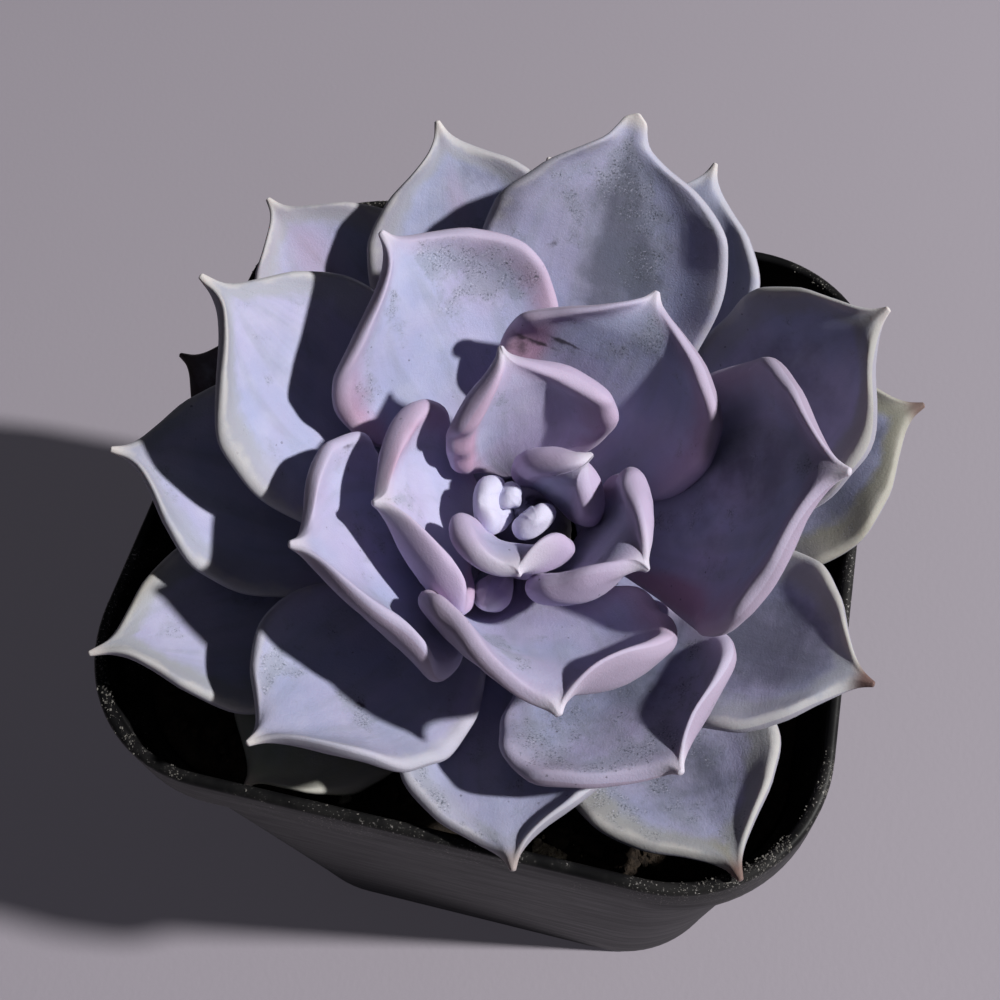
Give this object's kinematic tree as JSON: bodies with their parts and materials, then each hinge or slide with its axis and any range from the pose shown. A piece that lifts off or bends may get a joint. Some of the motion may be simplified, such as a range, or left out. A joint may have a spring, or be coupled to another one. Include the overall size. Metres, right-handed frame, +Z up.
{
  "type": "potted ghost echeveria",
  "caption": "Rosette of broad, cupped, powdery lilac succulent leaves leaning forward in a filled square black nursery pot.",
  "frame": {"origin": "middle of the pot's flat underside", "axes": "+Z up; -Y towards the pot's front wall, over which the rosette leans; +X to the right seen from the front"},
  "size_m": [0.0961, 0.0906, 0.1189],
  "materials": {
    "pot_plastic": "satin moulded black with dust and soil specks near the rim",
    "potting_soil": "dark crumbly peat mix with a few pale mineral grains",
    "heart_flesh": "matte pale bloom",
    "inner_leaf_skin": "matte powdery bloom with pink margins",
    "outer_leaf_skin": "matte powdery bloom with cream margins",
    "aged_leaf_skin": "matte thin bloom over dull green",
    "dry_leaf_skin": "dull dark brown, drying"
  },
  "bodies": {
    "root": {"pot": "pot_plastic", "soil": "potting_soil", "stem_and_heart": "heart_flesh", "inner_leaf_1": "inner_leaf_skin", "inner_leaf_2": "inner_leaf_skin", "inner_leaf_3": "inner_leaf_skin", "inner_leaf_4": "inner_leaf_skin", "inner_leaf_5": "inner_leaf_skin", "inner_leaf_6": "inner_leaf_skin", "middle_leaf_1": "inner_leaf_skin", "middle_leaf_2": "inner_leaf_skin", "middle_leaf_3": "inner_leaf_skin", "middle_leaf_4": "inner_leaf_skin", "middle_leaf_5": "inner_leaf_skin", "middle_leaf_6": "inner_leaf_skin", "outer_leaf_1": "outer_leaf_skin", "outer_leaf_2": "outer_leaf_skin", "outer_leaf_3": "outer_leaf_skin", "outer_leaf_4": "outer_leaf_skin", "outer_leaf_5": "outer_leaf_skin", "outer_leaf_6": "outer_leaf_skin", "outer_leaf_7": "outer_leaf_skin", "outer_leaf_8": "outer_leaf_skin", "outer_leaf_9": "outer_leaf_skin", "outer_leaf_10": "outer_leaf_skin", "outer_leaf_11": "outer_leaf_skin", "outer_leaf_12": "outer_leaf_skin", "outer_leaf_13": "outer_leaf_skin", "outer_leaf_14": "outer_leaf_skin", "outer_leaf_15": "dry_leaf_skin", "outer_leaf_16": "aged_leaf_skin"}
  },
  "joints": []
}
